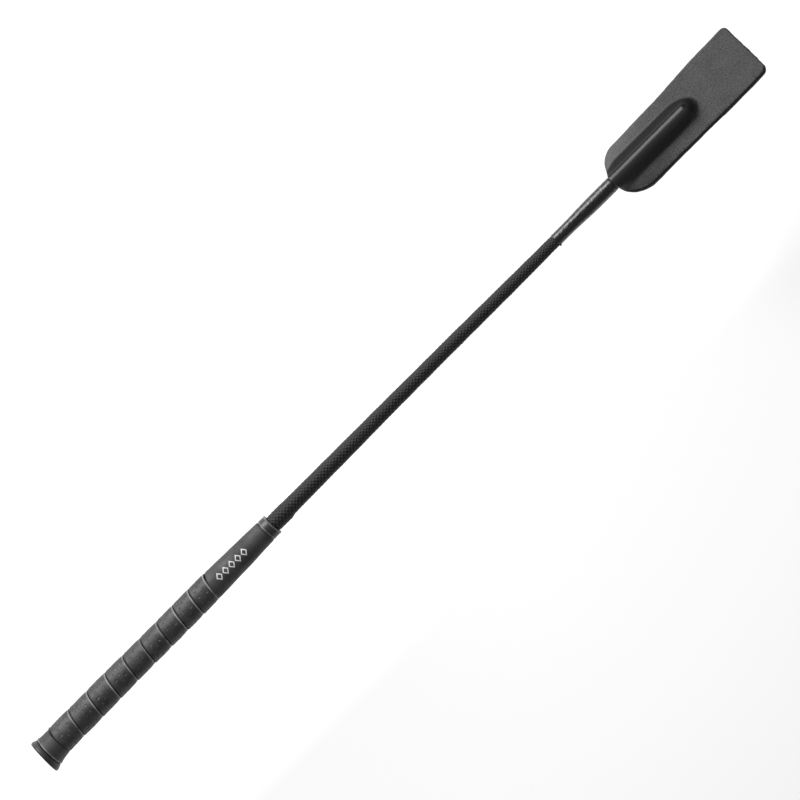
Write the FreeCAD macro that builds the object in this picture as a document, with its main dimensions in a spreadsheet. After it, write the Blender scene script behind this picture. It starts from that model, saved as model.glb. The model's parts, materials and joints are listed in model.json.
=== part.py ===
"""A 650 mm riding crop, built as separate pieces threaded along its shaft.

The shaft's axis is the X axis. The origin is the centre of the butt's end face, +X points to the
tip of the leather flap, and +Z is square to the flap's front face. Lengths are in millimetres.

The crop has no hinge of its own: its fibreglass shaft and its leather flap bend. Three pivots stand
for that bending, so each bending piece is cut there: the shaft at bend_pivot (up and down) and at
sway_pivot (side to side), and the flap's free end at flap_pivot. A cut in the shaft is a ball in a
socket, and a cut in the leather is a rounded edge beside a straight one, so nothing meets as it turns.
"""
import FreeCAD, Part
import math
import os

import Sketcher

SIZES = {
    # stations along X, from the butt
    "cap_end": 5.2,            # butt cap to collar
    "collar_end": 15.5,        # collar to the wrapped strip
    "wrap_end": 158.0,         # wrapped strip to the sleeve
    "sleeve_end": 207.7,       # sleeve to the mouth ring
    "mouth": 213.0,            # where the shaft leaves the handle
    "bend_pivot": 250.0,       # the shaft bends up and down here
    "sway_pivot": 320.0,       # the shaft bends sideways here
    "binding_start": 474.0,    # thread binding begins
    "tongue_start": 499.0,     # the leathers' thin tongues begin under the binding
    "flap_start": 526.5,       # square end of the flap
    "rod_end": 592.5,          # end of the core rod inside the flap
    "nose_centre": 592.3,      # the raised rod pocket rounds off about this station
    "flap_pivot": 604.0,       # the free end of the flap bends here
    "tip": 650.0,
    # handle, outer radii and walls
    "cap_face_radius": 11.6,
    "cap_rim_radius": 12.15,
    "cap_rim_station": 2.4,
    "cap_waist_radius": 11.1,
    "cap_rim_round": 2.0,
    "collar_flare_radius": 10.9,
    "collar_neck_station": 10.5,
    "collar_neck_round": 8.0,
    "collar_radius": 10.1,
    "strip_radius": 10.0,      # wrapped strip at the collar
    "strip_wall": 1.5,
    "strip_pitch": 15.8,
    "strip_turns": 11.0,       # wound past both ends, then trimmed
    "strip_gap": 0.15,         # between one turn and the next
    "strip_taper": 0.22,       # degrees, narrowing towards the shaft
    "sleeve_radius": 9.3,
    "sleeve_mouth_radius": 8.0,
    "ring_radius": 7.8,
    "ring_round": 0.5,
    "former_radius": 7.0,
    "former_start": 5.3,
    "spigot_end": 13.0,        # the cap's spigot in the former's bore
    # shaft
    "rod_start": 13.5,
    "shaft_radius": 5.5,       # over the braid, at the mouth
    "thin_radius": 4.1,        # over the braid, where the binding begins
    "braid_wall": 1.2,
    "glue_gap": 0.05,          # between nested round pieces
    "socket_gap": 0.3,         # between a ball and its socket
    "binding_wall": 0.3,
    # leather flap
    "leather": 1.9,            # one layer
    "seam_drop": 3.9,          # the layers meet this far below the shaft's axis
    "seam_gap": 0.03,          # half the glue line between the two layers
    "tongue_radius": 4.65,
    "tongue_skive": 6.0,       # length over which the tongue thins to nothing
    "ridge_radius": 5.9,       # crest of the leather over the rod
    "flank_angle": 50.2,       # slope of the pocket's sides, degrees
    "channel_half": 3.0,       # half width of the pocket's open underside
    "channel_top": 2.0,        # how far below the axis that opening starts
    "flap_half_base": 18.5,
    "flap_half_mid": 19.0,
    "flap_mid": 590.0,
    "flap_half_tip": 20.7,
    "flap_corner": 15.5,       # corner radius at the shaft end
    "tip_corner": 3.8,
    "edge_round": 0.6,
    "edge_gap": 0.3,           # between the pocket half and the free end
    "tip_cap_wall": 0.9,
    "cutter_margin": 4.0,      # how far a cutting shape reaches past the solid
}

MATCH = 0.1          # an edge within this of a station is the one meant
LEVEL = 0.01         # an edge is level if it rises by less than this
LEAST_TRIM = 100.0   # mm3 that each trim of the strip removes at the least
LEAST_CORNER = 10.0  # mm3 that each rounded flap corner loses at the least

SHEET = "Sizes"
document = FreeCAD.newDocument("riding_crop")
pieces = []


class Length:
    """A number together with the sheet expression that gives it."""

    def __init__(self, value, text):
        self.value = value
        self.text = text

    def __add__(self, other):
        return combined(self, "+", as_length(other), self.value + as_length(other).value)

    def __sub__(self, other):
        return combined(self, "-", as_length(other), self.value - as_length(other).value)

    def __mul__(self, other):
        return combined(self, "*", as_length(other), self.value * as_length(other).value)

    def __truediv__(self, other):
        return combined(self, "/", as_length(other), self.value / as_length(other).value)


def as_length(item):
    return item if isinstance(item, Length) else Length(float(item), str(item))


def combined(left, sign, right, value):
    return Length(value, f"({left.text} {sign} {right.text})")


def size(name):
    return Length(SIZES[name], f"{SHEET}.{name}")


def sine(angle):
    return Length(math.sin(math.radians(angle.value)), f"sin({angle.text} * 1 deg)")


def cosine(angle):
    return Length(math.cos(math.radians(angle.value)), f"cos({angle.text} * 1 deg)")


ZERO = Length(0.0, "0")


def make_sheet():
    sheet = document.addObject("Spreadsheet::Sheet", SHEET)
    for row, (name, value) in enumerate(SIZES.items(), start=1):
        sheet.set(f"A{row}", name)
        sheet.set(f"B{row}", str(value))
        sheet.setAlias(f"B{row}", name)
    document.recompute()


def new_body(label):
    body = document.addObject("PartDesign::Body", label)
    body.Label = label
    pieces.append(body)
    return body


def origin_item(body, role):
    return next(item for item in body.Origin.OriginFeatures if item.Role == role)


def bind(item, name, length):
    """Set a property and keep it tied to the sheet."""
    setattr(item, name, length.value)
    item.setExpression(name, length.text)


def new_sketch(body, plane, name, shift_name=None, shift=ZERO):
    """A sketch on one of the body's own origin planes, moved by shift along one local axis."""
    sketch = body.newObject("Sketcher::SketchObject", f"{body.Label}_{name}")
    sketch.AttachmentSupport = [(origin_item(body, plane), "")]
    sketch.MapMode = "FlatFace"
    if shift_name:
        sketch.setExpression(f"AttachmentOffset.Base.{shift_name}", shift.text)
    return sketch


def pin(sketch, edge, end, across, up):
    """Hold one end of an edge at two distances from the sketch's origin."""
    for kind, axis, distance in (("DistanceX", -2, across), ("DistanceY", -1, up)):
        if distance.value == 0:
            sketch.addConstraint(Sketcher.Constraint("PointOnObject", edge, end, axis))
            continue
        ends = (-1, 1, edge, end) if distance.value > 0 else (edge, end, -1, 1)
        index = sketch.addConstraint(Sketcher.Constraint(kind, *ends, abs(distance.value)))
        text = distance.text if distance.value > 0 else f"-({distance.text})"
        sketch.setExpression(f"Constraints[{index}]", text)


def draw_loop(sketch, corners, crest=None):
    """A closed outline of straight edges; crest numbers the one that is an arc about the origin."""
    points = [FreeCAD.Vector(across.value, up.value, 0) for across, up in corners]
    count = len(points)
    for number, point in enumerate(points):
        after = points[(number + 1) % count]
        if number == crest:
            middle = FreeCAD.Vector(0, point.Length, 0)
            if after.x * point.x >= 0:
                middle = (point + after).normalize() * point.Length
            sketch.addGeometry(Part.Arc(point, middle, after))
        else:
            sketch.addGeometry(Part.LineSegment(point, after))
    for number in range(count):
        joined = Sketcher.Constraint("Coincident", number, 2, (number + 1) % count, 1)
        sketch.addConstraint(joined)
        pin(sketch, number, 1, *corners[number])
    if crest is not None:
        sketch.addConstraint(Sketcher.Constraint("PointOnObject", crest, 3, -1))


def turn(body, name, corners, kind="Revolution"):
    """Turn a profile of (station, radius) corners about the shaft's axis."""
    sketch = new_sketch(body, "XZ_Plane", name)
    draw_loop(sketch, corners)
    feature = body.newObject(f"PartDesign::{kind}", f"{body.Label}_{name}_turned")
    feature.Profile = sketch
    feature.ReferenceAxis = (sketch, ["H_Axis"])
    feature.Angle = 360.0
    return feature


def ball(body, kind, station, radius):
    """A sphere on the axis, added to the body or cut from it."""
    sphere = body.newObject(f"PartDesign::{kind}Sphere", f"{body.Label}_{kind}_ball")
    bind(sphere, "Radius", radius)
    sphere.setExpression("Placement.Base.x", station.text)
    return sphere


def round_edges(body, name, radius, wanted):
    """Fillet the edges of the body's last feature for which wanted(edge) is true."""
    document.recompute()
    base = body.Tip
    names = [f"Edge{n}" for n, edge in enumerate(base.Shape.Edges, start=1) if wanted(edge)]
    fillet = body.newObject("PartDesign::Fillet", f"{body.Label}_{name}")
    fillet.Base = (base, names)
    bind(fillet, "Radius", radius)
    document.recompute()
    return fillet


def outer_radius(station):
    """The braided shaft's radius at a station on its straight taper."""
    taper = (size("shaft_radius") - size("thin_radius")) / (size("binding_start") - size("mouth"))
    return size("shaft_radius") - taper * (station - size("mouth"))


def rod_radius(station):
    return outer_radius(station) - size("braid_wall") - size("glue_gap")


def tube(label, start, end, inner, outer):
    """A straight or tapered tube; inner and outer are pairs of radii, at the start and the end."""
    corners = [(start, inner[0]), (start, outer[0]), (end, outer[1]), (end, inner[1])]
    body = new_body(label)
    turn(body, "profile", corners)
    return body


def make_butt_cap():
    """Rubber disc with a flared, rounded rim, and a spigot that plugs the former's bore."""
    plug = size("shaft_radius") - size("glue_gap")
    corners = [
        (ZERO, ZERO),
        (ZERO, size("cap_face_radius")),
        (size("cap_rim_station"), size("cap_rim_radius")),
        (size("cap_end"), size("cap_waist_radius")),
        (size("cap_end"), plug),
        (size("spigot_end"), plug),
        (size("spigot_end"), ZERO),
    ]
    body = new_body("butt_cap")
    turn(body, "profile", corners)
    rim = size("cap_rim_station").value

    def on_rim(edge):
        station = edge.BoundBox.Center.x
        outermost = edge.BoundBox.YLength > 2 * size("cap_waist_radius").value
        return abs(station - rim) < MATCH and outermost

    round_edges(body, "rim_round", size("cap_rim_round"), on_rim)


def make_butt_collar():
    """Smooth collar that flares from the wrapped strip out to the cap."""
    bore = size("former_radius") + size("glue_gap")
    start = size("former_start")
    corners = [
        (start, bore),
        (start, size("collar_flare_radius")),
        (size("collar_neck_station"), size("collar_radius")),
        (size("collar_end"), size("collar_radius")),
        (size("collar_end"), bore),
    ]
    body = new_body("butt_collar")
    turn(body, "profile", corners)
    neck = size("collar_neck_station").value

    def on_neck(edge):
        box = edge.BoundBox
        return abs(box.Center.x - neck) < MATCH and box.XLength < MATCH

    round_edges(body, "neck_round", size("collar_neck_round"), on_neck)


def strip_inner(station):
    """Radius of the surface that the strip is wound on."""
    slope = sine(size("strip_taper")) / cosine(size("strip_taper"))
    full = size("strip_radius") - size("strip_wall")
    return full - slope * (station - size("collar_end"))


def make_grip_underlay():
    """Soft rubber tube between the former and the wrapped strip."""
    start = size("collar_end") + size("glue_gap")
    end = size("wrap_end")
    bore = size("former_radius") + size("glue_gap")
    skin = size("glue_gap") * 2
    tube("grip_underlay", start, end, (bore, bore),
         (strip_inner(start) - skin, strip_inner(end) - skin))


def make_grip_wrap():
    """One strip wound left-handed round the handle, trimmed square at both ends."""
    body = new_body("grip_wrap")
    first = size("collar_end") - size("strip_pitch")
    last = first + size("strip_pitch") - size("strip_gap")
    inner = strip_inner(first)
    outer = inner + size("strip_wall")
    sketch = new_sketch(body, "XZ_Plane", "section")
    draw_loop(sketch, [(first, inner), (last, inner), (last, outer), (first, outer)])
    helix = body.newObject("PartDesign::AdditiveHelix", "grip_wrap_wound")
    helix.Profile = sketch
    helix.ReferenceAxis = (origin_item(body, "X_Axis"), [""])
    helix.Mode = 1  # pitch, turns and angle are given
    bind(helix, "Pitch", size("strip_pitch"))
    bind(helix, "Turns", size("strip_turns"))
    bind(helix, "Angle", ZERO - size("strip_taper"))
    helix.LeftHanded = True
    document.recompute()
    wound = helix.Shape.Volume
    far = size("cap_rim_radius") + size("cutter_margin")
    near = size("former_radius")
    length = size("strip_pitch") * 3
    for name, start, end in (
        ("butt_trim", size("collar_end") - length, size("collar_end") + size("glue_gap")),
        ("sleeve_trim", size("wrap_end"), size("wrap_end") + length),
    ):
        turn(body, name, [(start, near), (start, far), (end, far), (end, near)], "Groove")
        document.recompute()
        if body.Tip.Shape.Volume > wound - LEAST_TRIM:
            raise RuntimeError("grip_wrap: a trim cut nothing")
        wound = body.Tip.Shape.Volume


def make_grip_sleeve():
    """Smooth tapered sleeve over the front of the former."""
    bore = size("former_radius") + size("glue_gap")
    tube("grip_sleeve", size("wrap_end") + size("glue_gap"), size("sleeve_end"), (bore, bore),
         (size("sleeve_radius"), size("sleeve_mouth_radius")))


def make_mouth_ring():
    """Ring that closes the handle round the shaft."""
    bore = size("shaft_radius") + size("glue_gap")
    body = tube("mouth_ring", size("sleeve_end") + size("glue_gap"), size("mouth"), (bore, bore),
                (size("ring_radius"), size("ring_radius")))
    reach = size("ring_radius").value

    def on_outside(edge):
        box = edge.BoundBox
        return box.XLength < MATCH and abs(box.YLength / 2 - reach) < MATCH

    round_edges(body, "rounding", size("ring_round"), on_outside)


def make_handle_former():
    """Tube that builds the shaft up to hand size."""
    bore = size("shaft_radius") + size("glue_gap")
    tube("handle_former", size("former_start"), size("sleeve_end"), (bore, bore),
         (size("former_radius"), size("former_radius")))


def shaft_radii(station, inside_handle, radius_at):
    """The shaft is straight inside the handle and tapers from the mouth on."""
    return radius_at(size("mouth")) if inside_handle else radius_at(station)


def make_rod(label, start, end, ball_end, socket_end):
    """A length of the solid core rod, with a ball at its start and a socket at its end."""
    body = new_body(label)
    inside = start.value < size("mouth").value
    corners = [(start, ZERO), (start, shaft_radii(start, inside, rod_radius))]
    if inside:
        corners.append((size("mouth"), rod_radius(size("mouth"))))
    corners += [(end, rod_radius(end)), (end, ZERO)]
    turn(body, "profile", corners)
    if ball_end:
        ball(body, "Additive", start, rod_radius(start))
    if socket_end:
        ball(body, "Subtractive", end, outer_radius(end) + size("socket_gap"))


def make_braid(label, start, end, ball_end, socket_end):
    """A length of the braided sheath, bored for the rod."""
    body = new_body(label)
    inside = start.value < size("mouth").value
    outer = [(start, ZERO), (start, shaft_radii(start, inside, outer_radius))]
    bore = [(start, ZERO), (start, shaft_radii(start, inside, rod_radius) + size("glue_gap"))]
    if inside:
        mouth = size("mouth")
        outer.append((mouth, outer_radius(mouth)))
        bore.append((mouth, rod_radius(mouth) + size("glue_gap")))
    outer += [(end, outer_radius(end)), (end, ZERO)]
    bore += [(end, rod_radius(end) + size("glue_gap")), (end, ZERO)]
    turn(body, "outside", outer)
    if ball_end:
        ball(body, "Additive", start, outer_radius(start))
    turn(body, "bore", bore, "Groove")
    if ball_end:
        ball(body, "Subtractive", start, rod_radius(start) + size("glue_gap"))
    if socket_end:
        socket = ball(body, "Subtractive", end, outer_radius(end) + size("socket_gap"))
        socket.Label = f"{label}_socket"


def make_shaft():
    """The rod and its sheath, each cut at the two pivots that stand for their bending."""
    stations = [size("rod_start"), size("bend_pivot"), size("sway_pivot"), size("rod_end")]
    for number, part in enumerate(("root", "neck", "main")):
        start, end = stations[number], stations[number + 1]
        make_rod(f"core_rod_{part}", start, end, number > 0, number < 2)
        make_braid(f"braid_{part}", start, end, number > 0, number < 2)


def make_tip_cap():
    """Small rounded cap on the rod's end, felt as a bump under the leather."""
    radius = outer_radius(size("rod_end"))
    start = size("rod_end") + size("glue_gap")
    body = new_body("rod_tip_cap")
    end = start + size("tip_cap_wall")
    turn(body, "profile", [(start, ZERO), (start, radius), (end, radius), (end, ZERO)])
    ball(body, "Additive", end, radius)
    trim_start = start - size("cutter_margin")
    turn(body, "flat", [(trim_start, ZERO), (trim_start, radius * 2), (start, radius * 2),
                        (start, ZERO)], "Groove")


def tongue_corners(lift):
    """Outside of the leathers' tongues on the shaft, lifted by lift."""
    start = size("tongue_start")
    full = start + size("tongue_skive")
    skin = size("glue_gap") * 2
    return [
        (start, outer_radius(start) + skin + lift),
        (full, size("tongue_radius") + lift),
        (size("flap_start"), size("tongue_radius") + lift),
    ]


def make_binding():
    """Lacquered thread wound over the shaft and the leathers' tongues."""
    start = size("binding_start")
    wall = size("binding_wall")
    gap = size("glue_gap")
    inside = [(start, outer_radius(start) + gap)] + tongue_corners(gap)
    outside = [(start, outer_radius(start) + gap + wall)] + tongue_corners(gap + wall)
    body = new_body("thread_binding")
    turn(body, "profile", outside + inside[::-1])


def front_levels():
    """Lower and upper face of the front layer's flat parts."""
    low = ZERO - size("seam_drop") + size("seam_gap")
    return low, low + size("leather")


def back_levels():
    """Lower and upper face of the back layer."""
    high = ZERO - size("seam_drop") - size("seam_gap")
    return high - size("leather"), high


def plate(body, corners, low):
    """One leather layer lying flat, its lower face at height low."""
    sketch = new_sketch(body, "XY_Plane", "outline", "z", low)
    draw_loop(sketch, corners)
    pad = body.newObject("PartDesign::Pad", f"{body.Label}_plate")
    pad.Profile = sketch
    bind(pad, "Length", size("leather"))
    return pad


def mirrored_corners(edge):
    """A closed outline from the stations and half widths along one long edge."""
    far_side = [(station, ZERO - half) for station, half in edge]
    return edge + far_side[::-1]


def flap_half(station):
    """Half of the flap's width, beyond flap_mid, where its edges spread in straight lines."""
    spread = (size("flap_half_tip") - size("flap_half_mid")) / (size("tip") - size("flap_mid"))
    return size("flap_half_mid") + spread * (station - size("flap_mid"))


def tent_corners():
    """The pocket's cross-section: two straight flanks and a crest rounded about the axis."""
    angle = size("flank_angle")
    crest_across = size("ridge_radius") * sine(angle)
    crest_up = size("ridge_radius") * cosine(angle)
    floor = front_levels()[1]
    foot = crest_across + (crest_up - floor) * cosine(angle) / sine(angle)
    return foot, floor, crest_across, crest_up


def pocket_end():
    """Station where the pocket half of either layer stops, just short of the free end."""
    return size("flap_pivot") - size("leather") - size("seam_gap") - size("edge_gap")


def pocket_outline():
    end = pocket_end()
    return mirrored_corners([
        (size("flap_start"), size("flap_half_base")),
        (size("flap_mid"), size("flap_half_mid")),
        (end, flap_half(end)),
    ])


def add_tongue(body):
    """Thin ring of leather round the shaft, under the binding."""
    tongue = [(size("tongue_start"), ZERO)] + tongue_corners(ZERO) + [(size("flap_start"), ZERO)]
    turn(body, "tongue", tongue)


def cut_shaft_bore(body):
    """Room for the braided shaft and for the cap on the rod's end."""
    skin = size("glue_gap")
    cap_end = size("rod_end") + size("glue_gap") + size("tip_cap_wall")
    start = size("tongue_start") - size("cutter_margin")
    cavity = [(start, ZERO), (start, outer_radius(start) + skin),
              (size("rod_end"), outer_radius(size("rod_end")) + skin),
              (cap_end, outer_radius(size("rod_end")) + skin), (cap_end, ZERO)]
    turn(body, "cavity", cavity, "Groove")
    ball(body, "Subtractive", cap_end, outer_radius(size("rod_end")) + skin)


def cut_box(body, name, lowest, highest):
    """Cut away the box between two corners, each (station, across, up)."""
    box = body.newObject("PartDesign::SubtractiveBox", f"{body.Label}_{name}")
    for number, (side, axis) in enumerate((("Length", "x"), ("Width", "y"), ("Height", "z"))):
        bind(box, side, highest[number] - lowest[number])
        box.setExpression(f"Placement.Base.{axis}", lowest[number].text)


def make_front_pocket():
    """The bound half of the front leather: plate, raised pocket over the shaft, and tongue."""
    body = new_body("front_leather_pocket")
    low, floor = front_levels()
    plate(body, pocket_outline(), low)

    foot, floor, crest_across, crest_up = tent_corners()
    section = new_sketch(body, "YZ_Plane", "tent", "z", size("flap_start"))
    draw_loop(section, [(foot, low), (foot, floor), (crest_across, crest_up),
                        (ZERO - crest_across, crest_up), (ZERO - foot, floor),
                        (ZERO - foot, low)], crest=2)
    ridge = body.newObject("PartDesign::Pad", "front_leather_ridge")
    ridge.Profile = section
    bind(ridge, "Length", size("nose_centre") - size("flap_start"))

    half = new_sketch(body, "XZ_Plane", "nose", "x", size("nose_centre"))
    draw_loop(half, [(ZERO, low), (foot, low), (foot, floor), (crest_across, crest_up),
                     (ZERO, size("ridge_radius"))], crest=3)
    nose = body.newObject("PartDesign::Revolution", "front_leather_nose_turned")
    nose.Profile = half
    nose.ReferenceAxis = (half, ["V_Axis"])
    nose.Angle = 360.0

    add_tongue(body)
    cut_shaft_bore(body)
    wide = size("flap_half_tip")
    start = size("tongue_start") - size("cutter_margin")
    cut_box(body, "tongue_split", (start, ZERO - wide, ZERO - wide),
            (size("flap_start"), wide, size("seam_gap")))
    cut_box(body, "channel", (size("flap_start"), ZERO - size("channel_half"), ZERO - wide),
            (size("rod_end"), size("channel_half"), ZERO - size("channel_top")))
    trim_base_corners(body)
    round_rim(body, floor, pocket_end(), foot)


def make_back_pocket():
    """The bound half of the back leather: a flat plate, and the lower half of the tongue."""
    body = new_body("back_leather_pocket")
    low, high = back_levels()
    add_tongue(body)
    cut_shaft_bore(body)
    wide = size("flap_half_tip")
    start = size("tongue_start") - size("cutter_margin")
    cut_box(body, "tongue_split", (start, ZERO - wide, ZERO - size("seam_gap")),
            (size("flap_start") + size("cutter_margin"), wide, wide))
    plate(body, pocket_outline(), low)
    trim_base_corners(body)
    round_rim(body, low, pocket_end(), ZERO)


def trim_base_corners(body):
    for side, name in ((1, "left"), (-1, "right")):
        trim_base_corner(body, side, name)


def trim_base_corner(body, side, name):
    """Cut one corner at the shaft end to a large radius, through the plate and the pocket."""
    radius = size("flap_corner")
    sketch = new_sketch(body, "XY_Plane", f"{name}_corner", "x", size("flap_start") + radius)
    centre = (size("flap_half_base") - radius) * side
    sketch.setExpression("AttachmentOffset.Base.y", centre.text)
    document.recompute()
    past = (radius + size("cutter_margin")) * side
    inner = (ZERO, radius * side)
    outer = (ZERO - radius, ZERO)
    corners = [inner, outer, (ZERO - radius, past), (ZERO, past)]
    if side < 0:
        corners = [outer, inner, (ZERO, past), (ZERO - radius, past)]
    draw_loop(sketch, corners, crest=0)
    before = body.Tip.Shape.Volume
    pocket = body.newObject("PartDesign::Pocket", f"{body.Label}_{name}_trim")
    pocket.Profile = sketch
    pocket.Midplane = True
    bind(pocket, "Length", size("flap_half_tip") * 2)
    document.recompute()
    if body.Tip.Shape.Volume > before - LEAST_CORNER:
        raise RuntimeError(f"{body.Label}: the corner cut removed nothing")


def round_rim(body, level, joint_station, pocket):
    """Ease the edge of the plate's outer face, but not beside the pivot or within the pocket."""
    face = level.value
    joint = joint_station.value
    inner = pocket.value + size("edge_round").value

    def on_rim(edge):
        box = edge.BoundBox
        on_face = box.ZLength < LEVEL and abs(box.ZMin - face) < LEVEL
        beside_pivot = box.XLength < MATCH and abs(box.XMin - joint) < MATCH
        over_pocket = max(abs(box.YMin), abs(box.YMax)) < inner
        return on_face and not beside_pivot and not over_pocket

    round_edges(body, "rim", size("edge_round"), on_rim)


def make_free_leather(label, levels, outer):
    """The free end of one leather layer, rounded about the pivot where it bends."""
    body = new_body(label)
    start = size("flap_pivot") - size("leather") - size("seam_gap")
    edge = [
        (start, flap_half(start)),
        (size("tip"), size("flap_half_tip")),
    ]
    plate(body, mirrored_corners(edge), levels[0])
    face = levels[outer].value
    tip_x = size("tip").value

    def at_tip_corner(edge):
        box = edge.BoundBox
        upright = box.ZLength > size("leather").value / 2 and box.YLength < MATCH
        return upright and abs(box.XMin - tip_x) < MATCH

    def at_pivot(edge):
        box = edge.BoundBox
        on_face = box.ZLength < LEVEL and abs(box.ZMin - face) < LEVEL
        return on_face and box.XLength < MATCH and abs(box.XMin - start.value) < MATCH

    round_edges(body, "tip_corners", size("tip_corner"), at_tip_corner)
    round_edges(body, "pivot_round", size("leather") - size("seam_gap"), at_pivot)
    round_rim(body, levels[outer], start, ZERO)


def make_flap():
    """Two leather layers face to face, the back one flat and the front one raised over the shaft."""
    make_front_pocket()
    make_back_pocket()
    make_free_leather("front_leather_free", front_levels(), 1)
    make_free_leather("back_leather_free", back_levels(), 0)


def check_and_export():
    document.recompute()
    for item in document.Objects:
        if "Invalid" in item.State or "Error" in item.State:
            raise RuntimeError(f"{item.Name} failed: {item.State}")
    os.makedirs("parts", exist_ok=True)
    for body in pieces:
        shape = body.Shape
        if shape.isNull() or not shape.isValid() or len(shape.Solids) != 1:
            raise RuntimeError(f"{body.Label} is not one valid solid")
        box = shape.BoundBox
        print(f"{body.Label:22s} {shape.Volume:10.1f} mm3  x {box.XMin:7.2f} to {box.XMax:7.2f}")
    for body in pieces:
        body.Shape.exportStep(os.path.join("parts", f"{body.Label}.step"))


make_sheet()
make_butt_cap()
make_butt_collar()
make_handle_former()
make_grip_underlay()
make_grip_wrap()
make_grip_sleeve()
make_mouth_ring()
make_shaft()
make_tip_cap()
make_binding()
make_flap()
check_and_export()
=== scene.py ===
import json
import math

import bmesh
import bpy
import numpy as np
from mathutils import Matrix, Vector


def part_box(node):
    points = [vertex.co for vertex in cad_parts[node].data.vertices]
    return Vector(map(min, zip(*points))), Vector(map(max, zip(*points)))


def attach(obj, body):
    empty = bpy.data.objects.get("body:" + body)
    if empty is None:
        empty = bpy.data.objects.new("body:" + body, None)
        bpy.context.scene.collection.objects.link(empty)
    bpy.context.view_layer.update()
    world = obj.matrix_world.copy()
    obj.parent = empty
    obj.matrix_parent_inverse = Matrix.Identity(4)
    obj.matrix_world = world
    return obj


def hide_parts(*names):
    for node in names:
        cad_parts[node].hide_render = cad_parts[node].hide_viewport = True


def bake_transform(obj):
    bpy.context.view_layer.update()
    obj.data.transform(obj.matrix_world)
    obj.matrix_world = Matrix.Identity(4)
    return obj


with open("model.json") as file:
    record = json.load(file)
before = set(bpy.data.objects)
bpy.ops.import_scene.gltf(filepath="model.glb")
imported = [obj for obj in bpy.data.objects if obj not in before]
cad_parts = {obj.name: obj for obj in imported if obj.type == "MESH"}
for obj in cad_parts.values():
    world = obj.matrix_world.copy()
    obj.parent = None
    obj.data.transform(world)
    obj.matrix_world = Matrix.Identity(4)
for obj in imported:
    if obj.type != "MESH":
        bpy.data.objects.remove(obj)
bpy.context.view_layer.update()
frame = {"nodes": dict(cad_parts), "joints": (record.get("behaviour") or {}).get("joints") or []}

MM = 0.001
TURN = 2 * math.pi


def low(node):
    return np.array(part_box(node)[0]) / MM


def high(node):
    return np.array(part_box(node)[1]) / MM


SLEEVE_END = high("grip_sleeve")[0]
MOUTH = high("mouth_ring")[0]
ROD_START = low("core_rod_root")[0]
ROD_END = high("core_rod_main")[0]
BINDING_START = low("thread_binding")[0]
FLAP_START = high("thread_binding")[0]
TIP = high("front_leather_free")[0]
CAP_RADIUS = high("butt_cap")[2]
SEAM_FRONT = low("front_leather_free")[2]  # lower face of the front leather
FLAT_FRONT = high("front_leather_free")[2]  # its upper face
SEAM_BACK = high("back_leather_free")[2]
FLAT_BACK = low("back_leather_free")[2]
CREST = high("front_leather_pocket")[2]  # outside radius of the leather over the shaft
HINGES = {joint["name"]: np.array(joint["pos_m"]) / MM for joint in frame["joints"]}
BEND = HINGES["shaft_bend"][0]
SWAY = HINGES["shaft_sway"][0]
RUN_SPLIT = (BEND + SWAY) / 2  # where one length of shaft hands over to the next


# ---- curves and noise

def through(points):
    """A smooth curve through (station, value) pairs, level beyond both ends."""
    stations, values = np.array(points, float).T
    slopes = np.gradient(values, stations)

    def curve(x):
        x = np.clip(x, stations[0], stations[-1])
        i = np.clip(np.searchsorted(stations, x) - 1, 0, len(stations) - 2)
        span = stations[i + 1] - stations[i]
        t = (x - stations[i]) / span
        start = values[i] + slopes[i] * span * t
        end = values[i + 1] - slopes[i + 1] * span * (1 - t)
        share = t * t * (3 - 2 * t)
        return start * (1 - share) + end * share

    return curve


def ease(x, start, end):
    """0 before start, 1 after end, smooth between."""
    t = np.clip((x - start) / (end - start), 0, 1)
    return t * t * (3 - 2 * t)


def hump(x, centre, width):
    return np.exp(-((x - centre) / width) ** 2)


def ripple(x, y, wavelength, seed, waves=7):
    """Smooth seeded noise of about unit size over a plane."""
    rng = np.random.default_rng(seed)
    total = np.zeros(np.broadcast(x, y).shape)
    for _ in range(waves):
        heading = rng.uniform(0, TURN)
        length = wavelength * rng.uniform(0.7, 1.6)
        phase = rng.uniform(0, TURN)
        travel = x * math.cos(heading) + y * math.sin(heading)
        total = total + np.sin(TURN * travel / length + phase)
    return total / math.sqrt(waves)


# The crop is not quite straight: the butt's flare hangs to -Y and the shaft bows to +Y.
lean = through([
    (0, -1.35), (2.6, -1.25), (7, -1), (15, -0.5), (40, -0.28), (70, 0), (110, -0.05),
    (150, 0.12), (190, 0.25), (213, 0.4), (250, 0.5), (290, 0.62), (350, 0.68), (400, 0.5),
    (450, 0.22), (490, 0.2), (512, 0.05), (540, 0)])


def joined(*parts):
    """Coordinates, spread out against each other, as points."""
    return np.stack(np.broadcast_arrays(*parts), -1)


def closed(rows):
    return np.concatenate([rows, rows[:1]])


def headings(loop):
    """Unit directions along a closed loop of points."""
    step = np.roll(loop, -1, 0) - np.roll(loop, 1, 0)
    return step / np.linalg.norm(step, axis=1)[:, None]


def on_shaft(x, radius, angle, centre=lean):
    """Points at a distance and an angle round a centre line, which is the crop's outside's."""
    return joined(x, centre(x) + radius * np.cos(angle), radius * np.sin(angle))


# ---- meshes

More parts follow.
